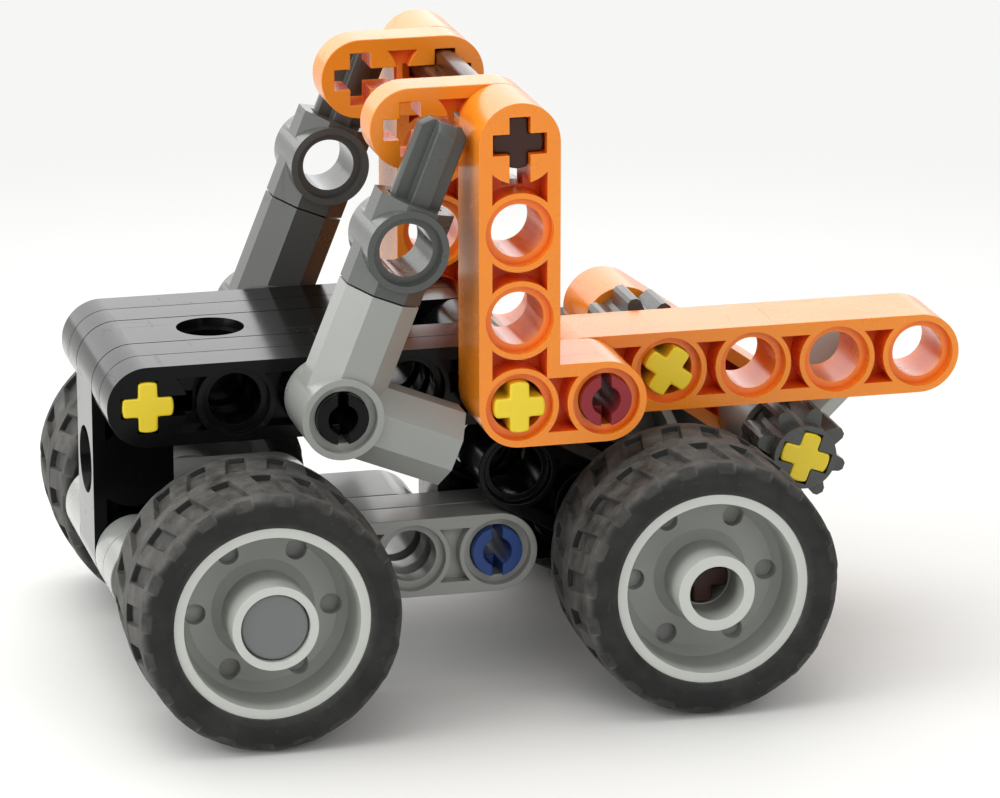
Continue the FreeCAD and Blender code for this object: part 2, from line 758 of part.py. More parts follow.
# Side cages: elbow, cross block and the stub axle above it.
SOCKET_END = cell("socket_length") * pitch
HUB_WALL = hole_radius + cell("recess_wall")
for side, row_number, pin_row in (("left", 0.5, 1), ("right", 4.5, 4)):
    lean = cell("cage_lean")
    arms = [(HUB_WALL, SOCKET_END, lean), (HUB_WALL, SOCKET_END, lean - 90)]
    keep(connector(side + "_elbow", arms), grid_x(-2), grid_y(row_number), grid_z(0))
    keep(pin(side + "_elbow_pin", 2, (0,)), grid_x(-2), grid_y(pin_row), grid_z(0))
    block_x = grid_x(-2) + 2 * pitch * cosine(lean)
    block_z = grid_z(0) + 2 * pitch * sine(lean)
    sleeve = 2 * pitch - SOCKET_END - end_setback
    block_arms = [(HUB_WALL, cell("pillar_sleeve"), lean), (HUB_WALL, sleeve, lean - 180)]
    keep(connector(side + "_pillar_block", block_arms), block_x, grid_y(row_number), block_z)
    core = leaning_axle(side + "_pillar_core", HUB_WALL + end_setback, 2 * pitch - HUB_WALL - end_setback)
    keep(core, grid_x(-2), grid_y(row_number), grid_z(0), turn=lean - 90)
    tip = leaning_axle(side + "_pillar_axle", HUB_WALL + end_setback, cell("pillar_reach") * pitch - 2 * pitch)
    keep(tip, block_x, grid_y(row_number), block_z, turn=lean - 90)

# Boom and hoist.
keep(beam("boom_beam", 4), grid_x(1), grid_y(1.5), grid_z(0))
drop = cell("hoist_drop")
keep(cross_axle("hoist_axle", 3 * pitch), grid_x(2), grid_y(MIDDLE_ROW), grid_z(0), turn=-drop)
tip_x = grid_x(2) + 2 * pitch * cosine(drop)
tip_z = grid_z(0) - 2 * pitch * sine(drop)
keep(gear("hoist_gear"), grid_x(2), grid_y(MIDDLE_ROW), grid_z(0), turn=-drop)
keep(beam("hoist_arm", 2, crosses=[(0, 0)]), grid_x(2), grid_y(3.5), grid_z(0), turn=-drop)
keep(cross_axle("tip_axle", 3 * pitch), tip_x, grid_y(MIDDLE_ROW), tip_z, turn=-cell("tip_turn"))
keep(gear("tip_gear"), tip_x, grid_y(1.5), tip_z, turn=-cell("tip_turn"))
keep(connector("tow_connector", [(HUB_WALL, SOCKET_END, cell("tow_rise"))]), tip_x, grid_y(MIDDLE_ROW), tip_z)

# Wheels and their axles.
for end_name, column, capped in (("front", cell("front_axle_column"), True),
                                 ("rear", cell("rear_axle_column"), False)):
    keep(wheel_axle(end_name + "_axle", capped), grid_x(column), ZERO, grid_z(AXLE_LEVEL))
    for side, sign in (("left", -1), ("right", 1)):
        middle = sign * cell("track_half")
        keep(tyre("%s_%s_tyre" % (end_name, side)), grid_x(column), middle, grid_z(AXLE_LEVEL))
        keep(rim("%s_%s_rim" % (end_name, side), sign, capped), grid_x(column), middle, grid_z(AXLE_LEVEL))

doc.recompute()
broken = [item.Name for item in doc.Objects if "Invalid" in item.State or "Error" in item.State]
if broken:
    raise RuntimeError("failed objects: %s" % broken)
for thing in subparts:
    shape = thing.Shape
    if shape.isNull() or not shape.isValid():
        raise RuntimeError("bad shape: %s" % thing.Label)
for thing in subparts:
    thing.Shape.exportStep("parts/%s.step" % thing.Label)
print("nodes", len(subparts))
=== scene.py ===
import bmesh
import bpy
import json
import math
import random
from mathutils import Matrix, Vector


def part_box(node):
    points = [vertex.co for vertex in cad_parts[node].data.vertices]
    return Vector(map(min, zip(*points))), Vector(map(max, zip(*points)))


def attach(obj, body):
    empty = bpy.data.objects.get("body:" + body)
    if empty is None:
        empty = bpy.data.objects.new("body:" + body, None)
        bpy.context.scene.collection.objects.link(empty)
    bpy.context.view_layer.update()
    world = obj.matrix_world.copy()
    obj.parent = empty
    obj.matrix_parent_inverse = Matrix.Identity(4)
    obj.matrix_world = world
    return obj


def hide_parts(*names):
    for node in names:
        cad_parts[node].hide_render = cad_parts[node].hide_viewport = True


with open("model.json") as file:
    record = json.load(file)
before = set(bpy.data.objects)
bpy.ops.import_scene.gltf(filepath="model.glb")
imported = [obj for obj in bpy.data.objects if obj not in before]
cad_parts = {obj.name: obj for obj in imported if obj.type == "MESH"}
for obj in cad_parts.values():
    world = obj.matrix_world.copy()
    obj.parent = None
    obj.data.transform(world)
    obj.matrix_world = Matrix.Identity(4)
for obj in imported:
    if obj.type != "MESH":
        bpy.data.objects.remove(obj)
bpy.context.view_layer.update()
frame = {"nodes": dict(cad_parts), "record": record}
nodes = frame["nodes"]

# Lengths are in metres, and MM turns millimetres into them.
MM = 0.001

# Camera, at the photograph's angle.
CAMERA_AZIMUTH = math.radians(-14.08)
CAMERA_ELEVATION = math.radians(16.43)
CAMERA_DISTANCE = 477.5 * MM
CAMERA_TARGET = Vector((-5.69, -20.0, 28.96)) * MM
SENSOR_WIDTH = 36.0
FOCAL_LENGTH = 194.1
NEAREST_SEEN = 0.01

# Edge rounding of the moulded parts.
EDGE_ANGLE = math.radians(28)
EDGE_ROUND = 0.22 * MM
FINE_ROUND = 0.12 * MM
CRISP_ROUND = 0.07 * MM
FINE_SLOTS = ("tyre", "dark_grey", "blue", "dark_red", "black")
WELD_DISTANCE = 0.002 * MM
FLAT_ANGLE = math.radians(0.6)


def make_camera():
    data = bpy.data.cameras.new("photo_camera")
    data.sensor_width = SENSOR_WIDTH
    data.lens = FOCAL_LENGTH
    data.clip_start = NEAREST_SEEN
    camera = bpy.data.objects.new("photo_camera", data)
    back = Vector((
        math.sin(CAMERA_AZIMUTH) * math.cos(CAMERA_ELEVATION),
        -math.cos(CAMERA_AZIMUTH) * math.cos(CAMERA_ELEVATION),
        math.sin(CAMERA_ELEVATION),
    ))
    camera.location = CAMERA_TARGET + back * CAMERA_DISTANCE
    camera.rotation_euler = (-back).to_track_quat("-Z", "Y").to_euler()
    bpy.context.scene.collection.objects.link(camera)
    bpy.context.scene.camera = camera


# Tools for building shader trees.
def new_group(name, inputs, outputs):
    group = bpy.data.node_groups.new(name, "ShaderNodeTree")
    for label, kind, value in inputs:
        socket = group.interface.new_socket(label, in_out="INPUT", socket_type=kind)
        socket.default_value = value
    for label, kind in outputs:
        group.interface.new_socket(label, in_out="OUTPUT", socket_type=kind)
    return group, group.nodes.new("NodeGroupInput"), group.nodes.new("NodeGroupOutput")


def noise(tree, scale, detail, rough=0.55):
    node = tree.nodes.new("ShaderNodeTexNoise")
    node.inputs["Scale"].default_value = scale
    node.inputs["Detail"].default_value = detail
    node.inputs["Roughness"].default_value = rough
    return node


def ramp(tree, low, high):
    """Runs from 0 at low to 1 at high, also where low is the larger one."""
    node = tree.nodes.new("ShaderNodeMapRange")
    node.inputs["From Min"].default_value = low
    node.inputs["From Max"].default_value = high
    node.inputs["To Min"].default_value = 0.0
    node.inputs["To Max"].default_value = 1.0
    return node


def mix_colour(tree, mode="MIX"):
    node = tree.nodes.new("ShaderNodeMix")
    node.data_type = "RGBA"
    node.blend_type = mode
    return node


def math_node(tree, operation, value=None, added=None):
    """A math node, with its second input and its third input where they are given."""
    node = tree.nodes.new("ShaderNodeMath")
    node.operation = operation
    if value is not None:
        node.inputs[1].default_value = value
    if added is not None:
        node.inputs[2].default_value = added
    return node


def bump_from(tree, height, strength, depth, shader):
    bump = tree.nodes.new("ShaderNodeBump")
    bump.inputs["Strength"].default_value = strength
    bump.inputs["Distance"].default_value = depth
    tree.links.new(height, bump.inputs["Height"])
    tree.links.new(bump.outputs["Normal"], shader.inputs["Normal"])


def seen_directly(tree):
    """Gives 1 for camera rays, reflections and rays through clear matter, and 0 for soft light."""
    path = tree.nodes.new("ShaderNodeLightPath")
    sharp = math_node(tree, "MAXIMUM")
    tree.links.new(path.outputs["Is Camera Ray"], sharp.inputs[0])
    tree.links.new(path.outputs["Is Glossy Ray"], sharp.inputs[1])
    seen = math_node(tree, "MAXIMUM")
    tree.links.new(sharp.outputs[0], seen.inputs[0])
    tree.links.new(path.outputs["Is Transmission Ray"], seen.inputs[1])
    return seen.outputs[0]


def new_material(name):
    material = bpy.data.materials.new(name)
    material.use_nodes = True
    tree = material.node_tree
    return material, tree, tree.nodes["Principled BSDF"]


def add_object(name, mesh):
    thing = bpy.data.objects.new(name, mesh)
    bpy.context.scene.collection.objects.link(thing)
    return thing


# Shader node groups, each built once. Scales count per metre.
FLOW_SCALES = (110.0, 2600.0)
SPECKLE_SHARE = 0.25
CLOUD_FADE = (0.35, 0.9)
CLOUD_SHADE = (0.72, 0.72, 0.72, 1)
SCRATCH_RUNS = ((0.5, (900, 60, 700)), (1.9, (80, 1000, 900)), (2.7, (1200, 300, 90)))
SCRATCH_TILT = (1.0, 0.6, 1.3)
SCRATCH_FADE = (0.66, 0.72)
DUST_SCALES = (260.0, 1500.0)
PATCH_FADE = (0.42, 0.72)
SPECK_FADE = (0.66, 0.74)
DUST_COLOUR = (0.32, 0.31, 0.29, 1)


def build_flow_marks():
    """Cloudy tone of moulded plastic: broad flow marks and a fine pigment speckle."""
    group, given, result = new_group(
        "moulding_flow",
        [("Colour", "NodeSocketColor", (0.5, 0.5, 0.5, 1)), ("Amount", "NodeSocketFloat", 0.2)],
        [("Colour", "NodeSocketColor"), ("Cloud", "NodeSocketFloat")],
    )
    place = group.nodes.new("ShaderNodeTexCoord")
    broad = noise(group, FLOW_SCALES[0], 2.0)
    fine = noise(group, FLOW_SCALES[1], 2.0)
    blend = math_node(group, "MULTIPLY_ADD", SPECKLE_SHARE)
    for texture in (broad, fine):
        group.links.new(place.outputs["Object"], texture.inputs["Vector"])
    group.links.new(fine.outputs["Fac"], blend.inputs[0])
    group.links.new(broad.outputs["Fac"], blend.inputs[2])
    cloud = ramp(group, *CLOUD_FADE)
    group.links.new(blend.outputs[0], cloud.inputs["Value"])
    shade = mix_colour(group, "MULTIPLY")
    shade.inputs["B"].default_value = CLOUD_SHADE
    amount = math_node(group, "MULTIPLY")
    group.links.new(cloud.outputs[0], amount.inputs[0])
    group.links.new(given.outputs["Amount"], amount.inputs[1])
    group.links.new(amount.outputs[0], shade.inputs["Factor"])
    group.links.new(given.outputs["Colour"], shade.inputs["A"])
    group.links.new(shade.outputs["Result"], result.inputs["Colour"])
    group.links.new(cloud.outputs[0], result.inputs["Cloud"])
    return group


def build_hairlines():
    """Fine handling scratches: a mask and a height."""
    group, given, result = new_group(
        "handling_scratches",
        [("Density", "NodeSocketFloat", 0.5)],
        [("Mask", "NodeSocketFloat"), ("Height", "NodeSocketFloat")],
    )
    place = group.nodes.new("ShaderNodeTexCoord")
    total = None
    for turn, stretch in SCRATCH_RUNS:
        mapping = group.nodes.new("ShaderNodeMapping")
        mapping.inputs["Rotation"].default_value = [turn * share for share in SCRATCH_TILT]
        mapping.inputs["Scale"].default_value = stretch
        texture = noise(group, 1.0, 2.0, 0.6)
        group.links.new(place.outputs["Object"], mapping.inputs["Vector"])
        group.links.new(mapping.outputs[0], texture.inputs["Vector"])
        line = ramp(group, *SCRATCH_FADE)
        group.links.new(texture.outputs["Fac"], line.inputs["Value"])
        if total is None:
            total = line.outputs[0]
        else:
            highest = math_node(group, "MAXIMUM")
            group.links.new(total, highest.inputs[0])
            group.links.new(line.outputs[0], highest.inputs[1])
            total = highest.outputs[0]
    scaled = math_node(group, "MULTIPLY")
    group.links.new(total, scaled.inputs[0])
    group.links.new(given.outputs["Density"], scaled.inputs[1])
    group.links.new(scaled.outputs[0], result.inputs["Mask"])
    drop = math_node(group, "MULTIPLY", -1.0)
    group.links.new(scaled.outputs[0], drop.inputs[0])
    group.links.new(drop.outputs[0], result.inputs["Height"])
    return group


def build_dust():
    """Pale dust that gathers in patches, with specks between them."""
    group, given, result = new_group(
        "settled_dust",
        [("Colour", "NodeSocketColor", (0.1, 0.1, 0.1, 1)), ("Amount", "NodeSocketFloat", 0.3)],
        [("Colour", "NodeSocketColor")],
    )
    place = group.nodes.new("ShaderNodeTexCoord")
    patches = noise(group, DUST_SCALES[0], 6.0, 0.65)
    specks = noise(group, DUST_SCALES[1], 2.0, 0.5)
    group.links.new(place.outputs["Object"], patches.inputs["Vector"])
    group.links.new(place.outputs["Object"], specks.inputs["Vector"])
    patch_mask = ramp(group, *PATCH_FADE)
    speck_mask = ramp(group, *SPECK_FADE)
    group.links.new(patches.outputs["Fac"], patch_mask.inputs["Value"])
    group.links.new(specks.outputs["Fac"], speck_mask.inputs["Value"])
    both = math_node(group, "ADD")
    group.links.new(patch_mask.outputs[0], both.inputs[0])
    group.links.new(speck_mask.outputs[0], both.inputs[1])
    scaled = math_node(group, "MULTIPLY")
    scaled.use_clamp = True
    group.links.new(both.outputs[0], scaled.inputs[0])
    group.links.new(given.outputs["Amount"], scaled.inputs[1])
    mixed = mix_colour(group)
    mixed.inputs["B"].default_value = DUST_COLOUR
    group.links.new(scaled.outputs[0], mixed.inputs["Factor"])
    group.links.new(given.outputs["Colour"], mixed.inputs["A"])
    group.links.new(mixed.outputs["Result"], result.inputs["Colour"])
    return group


flow_marks = build_flow_marks()
hairlines = build_hairlines()
dust = build_dust()


def use_group(tree, group):
    node = tree.nodes.new("ShaderNodeGroup")
    node.node_tree = group
    return node


# Moulded plastic: its gloss, its skin, the coat seen at a glance and the painted shade in its recesses.
PLASTIC_IOR = 1.53
CLOUD_ROUGHENS = 0.08
SCRATCH_ROUGHENS = 0.22
SKIN_SCALE = 3200.0
SKIN_HEIGHT = 0.15
SKIN_STRENGTH = 0.10
SKIN_DEPTH = 0.03 * MM
COAT_ROUGHNESS = 0.10
COAT_IOR = 1.6
COAT_SLOPES = (0.62, 0.86)
HOLLOW_REACH = 4.0 * MM
HOLLOW_RAYS = 8
HOLLOW_SHARE = 0.8
HOLLOW_OPENNESS = (0.85, 0.35)

# Rims: their lips are painted paler than their dishes, as painted light on the outer faces.
RIM_LIGHT_GAIN = 1.75
LIP_DISTANCE = 26.6 * MM
LIP_FADE = 1.5 * MM


def moulded_plastic(name, colour, roughness, shine=0.4, clouding=0.25, scratches=0.35, gloss=0.6,
                    lit_from=None, hollow_shade_tint=None):
    """Injection-moulded plastic with flow marks, hairline scratches and a faint skin texture, and where
    asked painted shade in its recesses and painted light on its outer faces.
    """
    material, tree, shader = new_material(name)
    shader.inputs["IOR"].default_value = PLASTIC_IOR
    shader.inputs["Specular IOR Level"].default_value = shine
    flow = use_group(tree, flow_marks)
    flow.inputs["Colour"].default_value = (*colour, 1)
    flow.inputs["Amount"].default_value = clouding
    lines = use_group(tree, hairlines)
    lines.inputs["Density"].default_value = scratches
    tree.links.new(flow.outputs["Colour"], shader.inputs["Base Color"])
    cloud_rough = math_node(tree, "MULTIPLY_ADD", CLOUD_ROUGHENS, roughness)
    tree.links.new(flow.outputs["Cloud"], cloud_rough.inputs[0])
    rough = math_node(tree, "MULTIPLY_ADD", SCRATCH_ROUGHENS)
    tree.links.new(lines.outputs["Mask"], rough.inputs[0])
    tree.links.new(cloud_rough.outputs[0], rough.inputs[2])
    tree.links.new(rough.outputs[0], shader.inputs["Roughness"])
    place = tree.nodes.new("ShaderNodeTexCoord")
    skin = noise(tree, SKIN_SCALE, 2.0)
    tree.links.new(place.outputs["Object"], skin.inputs["Vector"])
    height = math_node(tree, "MULTIPLY_ADD", SKIN_HEIGHT)
    tree.links.new(skin.outputs["Fac"], height.inputs[0])
    tree.links.new(lines.outputs["Height"], height.inputs[2])
    bump_from(tree, height.outputs[0], SKIN_STRENGTH, SKIN_DEPTH, shader)
    slope = tree.nodes.new("ShaderNodeLayerWeight")
    glance = ramp(tree, *COAT_SLOPES)
    tree.links.new(slope.outputs["Facing"], glance.inputs["Value"])
    polish = math_node(tree, "MULTIPLY", gloss)
    tree.links.new(glance.outputs[0], polish.inputs[0])
    tree.links.new(polish.outputs[0], shader.inputs["Coat Weight"])
    shader.inputs["Coat Roughness"].default_value = COAT_ROUGHNESS
    shader.inputs["Coat IOR"].default_value = COAT_IOR
    # Painted light on the outer faces of the rims.
    if lit_from is not None:
        paint_lit_outer_faces(tree, flow, shader, colour, lit_from)
    # Painted shade in the recesses.
    if hollow_shade_tint is not None:
        paint_hollow_shade(tree, flow, shader, hollow_shade_tint)
    return material


def paint_hollow_shade(tree, flow, shader, hollow_shade_tint):
    """Paints shade into the recesses: a deeper, redder colour where ambient occlusion finds them
    closed, standing in for light that bounces in thick plastic.
    """
    openness = tree.nodes.new("ShaderNodeAmbientOcclusion")
    openness.samples = HOLLOW_RAYS
    openness.only_local = True
    openness.inputs["Distance"].default_value = HOLLOW_REACH
    hollow = ramp(tree, *HOLLOW_OPENNESS)
    tree.links.new(openness.outputs["AO"], hollow.inputs["Value"])
    share = math_node(tree, "MULTIPLY", HOLLOW_SHARE)
    tree.links.new(hollow.outputs[0], share.inputs[0])
    shaded_colour = mix_colour(tree)
    shaded_colour.inputs["B"].default_value = (*hollow_shade_tint, 1)
    tree.links.new(share.outputs[0], shaded_colour.inputs["Factor"])
    tree.links.new(flow.outputs["Colour"], shaded_colour.inputs["A"])
    tree.links.new(shaded_colour.outputs["Result"], shader.inputs["Base Color"])


def paint_lit_outer_faces(tree, flow, shader, colour, lit_from):
    """Paints light onto the faces that lie further from the middle plane than the given distance, a
    painted highlight that leaves the dish between them darker, as painted shade.
    """
    place = tree.nodes.new("ShaderNodeTexCoord")
    apart = tree.nodes.new("ShaderNodeSeparateXYZ")
    tree.links.new(place.outputs["Object"], apart.inputs[0])
    distance = math_node(tree, "ABSOLUTE")
    tree.links.new(apart.outputs["Y"], distance.inputs[0])
    outer = ramp(tree, lit_from - LIP_FADE, lit_from)
    outer.interpolation_type = "SMOOTHSTEP"
    tree.links.new(distance.outputs[0], outer.inputs["Value"])
    worn_and_lit = mix_colour(tree)
    worn_and_lit.inputs["B"].default_value = (*(min(1.0, part * RIM_LIGHT_GAIN) for part in colour), 1)
    tree.links.new(outer.outputs[0], worn_and_lit.inputs["Factor"])
    tree.links.new(flow.outputs["Colour"], worn_and_lit.inputs["A"])
    tree.links.new(worn_and_lit.outputs["Result"], shader.inputs["Base Color"])


# Rubber: black on the sidewalls, greyed and scuffed on the tread.
RUBBER_IOR = 1.5
RUBBER_SHINE = 0.3
RUBBER_BLACK = (0.010, 0.0105, 0.010, 1)
RUBBER_GREY = (0.115, 0.112, 0.104, 1)
RUBBER_DUST = 0.05
RUBBER_ROUGHNESS = 0.55
SIDEWAYS_FADE = (0.95, 0.55)
SCUFF_SCALE = 420.0
SCUFF_FADE = (0.30, 0.72)
SCUFF_ROUGHENS = 0.25
PORE_SCALE = 1900.0
PORE_STRENGTH = 0.35
PORE_DEPTH = 0.05 * MM


def tyre_rubber():
    """Black rubber: clean sidewalls, and a tread greyed by dust and scuffed on its blocks."""
    material, tree, shader = new_material("tyre_rubber")
    shader.inputs["IOR"].default_value = RUBBER_IOR
    shader.inputs["Specular IOR Level"].default_value = RUBBER_SHINE
    place = tree.nodes.new("ShaderNodeTexCoord")
    facing = tree.nodes.new("ShaderNodeSeparateXYZ")
    tree.links.new(place.outputs["Normal"], facing.inputs[0])
    sideways = math_node(tree, "ABSOLUTE")
    tree.links.new(facing.outputs["Y"], sideways.inputs[0])
    tread = ramp(tree, *SIDEWAYS_FADE)
    tree.links.new(sideways.outputs[0], tread.inputs["Value"])
    patches = noise(tree, SCUFF_SCALE, 6.0, 0.7)
    tree.links.new(place.outputs["Object"], patches.inputs["Vector"])
    worn_and_lit = ramp(tree, *SCUFF_FADE)
    tree.links.new(patches.outputs["Fac"], worn_and_lit.inputs["Value"])
    scuffed = math_node(tree, "MULTIPLY")
    tree.links.new(tread.outputs[0], scuffed.inputs[0])
    tree.links.new(worn_and_lit.outputs[0], scuffed.inputs[1])
    greyed = mix_colour(tree)
    greyed.inputs["A"].default_value = RUBBER_BLACK
    greyed.inputs["B"].default_value = RUBBER_GREY
    tree.links.new(scuffed.outputs[0], greyed.inputs["Factor"])
    powder = use_group(tree, dust)
    powder.inputs["Amount"].default_value = RUBBER_DUST
    tree.links.new(greyed.outputs["Result"], powder.inputs["Colour"])
    tree.links.new(powder.outputs["Colour"], shader.inputs["Base Color"])
    rough = math_node(tree, "MULTIPLY_ADD", SCUFF_ROUGHENS, RUBBER_ROUGHNESS)
    tree.links.new(scuffed.outputs[0], rough.inputs[0])
    tree.links.new(rough.outputs[0], shader.inputs["Roughness"])
    pores = noise(tree, PORE_SCALE, 4.0, 0.65)
    tree.links.new(place.outputs["Object"], pores.inputs["Vector"])
    bump_from(tree, pores.outputs["Fac"], PORE_STRENGTH, PORE_DEPTH, shader)
    return material


MATERIALS = {
    # The orange's hollow tint is painted shade in its recesses.
    "orange": moulded_plastic("orange_plastic", (0.90, 0.262, 0.014), 0.22, shine=0.45, clouding=0.22,
                              gloss=0.25, hollow_shade_tint=(0.88, 0.085, 0.004)),
    "black": moulded_plastic("black_plastic", (0.0030, 0.0034, 0.0034), 0.14, shine=0.12, clouding=0.35,
                             scratches=0.5, gloss=0.5),
    "yellow": moulded_plastic("yellow_plastic", (0.88, 0.66, 0.027), 0.3),
    "light_grey": moulded_plastic("light_grey_plastic", (0.31, 0.32, 0.30), 0.26),
    "dark_grey": moulded_plastic("dark_grey_plastic", (0.075, 0.08, 0.075), 0.24),
    "blue": moulded_plastic("blue_plastic", (0.018, 0.06, 0.24), 0.28, shine=0.3),
    "dark_red": moulded_plastic("dark_red_plastic", (0.27, 0.018, 0.026), 0.28, shine=0.3),
    "brown": moulded_plastic("brown_plastic", (0.045, 0.014, 0.008), 0.3, shine=0.3, clouding=0.3),
    "tyre": tyre_rubber(),
}
# The rims' outer faces are painted lighter, as painted light.
RIM_GREY = moulded_plastic("rim_grey_plastic", (0.31, 0.32, 0.30), 0.30, clouding=0.3,
                           lit_from=LIP_DISTANCE)
CAP_GREY = moulded_plastic("cap_grey_plastic", (0.17, 0.18, 0.178), 0.34, shine=0.3, clouding=0.3)


def closed_ring(name, columns, material):
    """A closed mesh through columns of points that stand around an axis, with its faces looking out."""
    around = len(columns)
    count = len(columns[0])
    points = [point for column in columns for point in column]
    faces = []
    for column in range(around):
        after = (column + 1) % around
        for number in range(count):
            follow = (number + 1) % count
            faces.append((column * count + number, column * count + follow,
                          after * count + follow, after * count + number))
    mesh = bpy.data.meshes.new(name)
    mesh.from_pydata(points, [], faces)
    mesh.validate()
    work = bmesh.new()
    work.from_mesh(mesh)
    bmesh.ops.recalc_face_normals(work, faces=work.faces)
    work.to_mesh(mesh)
    work.free()
    mesh.materials.append(material)
    return add_object(name, mesh)


# Tyres: two staggered rows of pockets between raised blocks, on a crowned tread. Places around the
# tyre are shares of one step, and the slant is a share of a step for each millimetre across.
TREAD_STEPS = 20
POCKET_DEPTH = 0.62 * MM
POCKET_HALF = 0.25
INSIDE_POCKET = 0.245
BLOCK_MIDDLE = 0.375
EDGE_STEP = 0.035
SLANT = 0.055
BLOCK_WEAR = 0.14 * MM
SCALLOP = 0.28 * MM
ROW_EDGES = (0.9, 5.3)
WALL_RUN = 0.06
TREAD_SHARP = math.radians(32)
BLOCK_ROUND = 0.06 * MM
WEAR_SEED = 11

# Places on half of the tread, in millimetres. Those on the crown lie across from the middle and those
# on the shoulder in from the sidewall, each with its drop below the crown and its kind.
CROWN = (
    (0.0, 0.0, "rib"),
    (ROW_EDGES[0] - WALL_RUN, 0.0, "rib"),
    (ROW_EDGES[0] + WALL_RUN, 0.0, "pocket"),
    ((ROW_EDGES[0] + ROW_EDGES[1]) / 2, 0.05, "pocket"),
    (ROW_EDGES[1] - WALL_RUN, 0.16, "pocket"),
    (ROW_EDGES[1] + WALL_RUN, 0.17, "block"),
)
SHOULDER = (
    (0.75, 0.24, "block"), (0.35, 0.42, "edge"), (0.12, 0.75, "edge"),
    (0.02, 1.15, "side"), (0.0, 1.6, "side"), (0.0, 2.3, "side"), (0.12, 2.75, "side"),
)
BEAD_INSET = 0.45


def tyre_outline(half_width, outer, inner):
    """The whole cross-section, as (across, radius, kind), from bead to bead over the crown."""
    half = [(across * MM, outer - drop * MM, kind) for across, drop, kind in CROWN]
    half += [(half_width - inset * MM, outer - drop * MM, kind) for inset, drop, kind in SHOULDER]
    half.append((half_width - BEAD_INSET * MM, inner, "side"))
    return [(-across, radius, kind) for across, radius, kind in reversed(half[1:])] + half


def tread_drop(across, kind, corner, wear):
    """How far a place on the tread lies below its outline, for one corner of one step."""
    row = 0.5 if across > 0 else 0.0
    inside = abs((corner + row + 0.5) % 1.0 - 0.5) < INSIDE_POCKET
    if kind == "pocket" and inside:
        return POCKET_DEPTH
    if kind == "edge" and inside:
        return SCALLOP
    if kind in ("pocket", "block", "edge"):
        return -wear[0 if across < 0 else 1]
    return 0.0


def make_tyre(name, node, turn):
    low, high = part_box(node)
    centre = (low + high) / 2
    outer = (high.z - low.z) / 2
    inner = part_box(node.replace("_tyre", "_rim"))[1].z - centre.z
    profile = tyre_outline((high.y - low.y) / 2, outer, inner)
    quarter = (POCKET_HALF - EDGE_STEP, POCKET_HALF, POCKET_HALF + EDGE_STEP, BLOCK_MIDDLE)
    corners = (-0.5,) + tuple(-corner for corner in reversed(quarter)) + (0.0,) + quarter
    # Each step draws three numbers, and its left and right blocks take the first two.
    luck = random.Random(WEAR_SEED)
    wear = [[luck.uniform(-1, 0) * BLOCK_WEAR for _ in range(3)] for _ in range(TREAD_STEPS)]
    columns = []
    for step in range(TREAD_STEPS):
        for corner in corners:
            column = []
            for across, radius, kind in profile:
                lean = SLANT * min(abs(across), ROW_EDGES[1] * MM) / MM
                angle = 2 * math.pi * (step + corner + lean) / TREAD_STEPS + turn
                reach = radius - tread_drop(across, kind, corner, wear[step])
                column.append((
                    centre.x + reach * math.sin(angle),
                    centre.y + across,
                    centre.z + reach * math.cos(angle),
                ))
            columns.append(column)
    thing = closed_ring(name, columns, MATERIALS["tyre"])
    thing.data.shade_smooth()
    thing.data.set_sharp_from_angle(angle=TREAD_SHARP)
    bevel = thing.modifiers.new("block_edges", "BEVEL")
    bevel.width = BLOCK_ROUND
    bevel.segments = 1
    bevel.limit_method = "ANGLE"
    bevel.angle_limit = TREAD_SHARP
    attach(thing, body_of(node))
    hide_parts(node)


# The rims' six holes are shallow, so a ring inside each web closes them.
HOLE_DEPTH = 1.0 * MM
RING_INNER = 4.9 * MM
RING_OUTER = 7.3 * MM
RING_THICKNESS = 0.5 * MM
RING_STEPS = 96
WEB_DEPTH = 5.6 * MM


def close_rim_holes(name, node, side):
    low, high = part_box(node)
    outer_face = low.y if side == "left" else high.y
    inward = 1 if side == "left" else -1
    centre = (low + high) / 2
    near = outer_face + inward * (WEB_DEPTH + HOLE_DEPTH)
    far = near + inward * RING_THICKNESS
    corners = ((near, RING_INNER), (near, RING_OUTER), (far, RING_OUTER), (far, RING_INNER))
    columns = []
    for number in range(RING_STEPS):
        angle = 2 * math.pi * number / RING_STEPS
        columns.append([
            (centre.x + radius * math.cos(angle), depth, centre.z + radius * math.sin(angle))
            for depth, radius in corners
        ])
    thing = closed_ring(name, columns, RIM_GREY)
    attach(thing, body_of(node))


def body_of(node):
    bodies = frame["record"]["behaviour"]["bodies"]
    return [key for key, members in bodies.items() if node in members][0]


def make_wheels():
    """The tyres, each turned a little from the others, and then the rims' hole floors."""
    turns = {"front_left": 0.0, "front_right": 0.17, "rear_left": 0.31, "rear_right": 0.31 + 0.17}
    for wheel, turn in turns.items():
        make_tyre(wheel + "_tread", wheel + "_tyre", turn)
    for wheel in turns:
        close_rim_holes(wheel + "_hole_floor", wheel + "_rim", wheel.split("_")[1])


def round_edges(thing, width):
    """Rounds the moulded edges and keeps the flat faces flat."""
    weld = thing.modifiers.new("weld", "WELD")
    weld.merge_threshold = WELD_DISTANCE
    flatten = thing.modifiers.new("flatten", "DECIMATE")
    flatten.decimate_type = "DISSOLVE"
    flatten.angle_limit = FLAT_ANGLE
    bevel = thing.modifiers.new("edge_round", "BEVEL")
    bevel.width = width
    bevel.segments = 2
    bevel.limit_method = "ANGLE"
    bevel.angle_limit = EDGE_ANGLE
    bevel.use_clamp_overlap = True
    flats = thing.modifiers.new("flat_faces", "WEIGHTED_NORMAL")
    flats.mode = "FACE_AREA"
    flats.weight = 100


def edge_width(name, slot):
    """The rounding of a node's edges: crisp on the bonnet, fine on small parts, full on the rest."""
    if "bonnet" in name:
        return CRISP_ROUND
    if slot in FINE_SLOTS or name.endswith("pin"):
        return FINE_ROUND
    return EDGE_ROUND


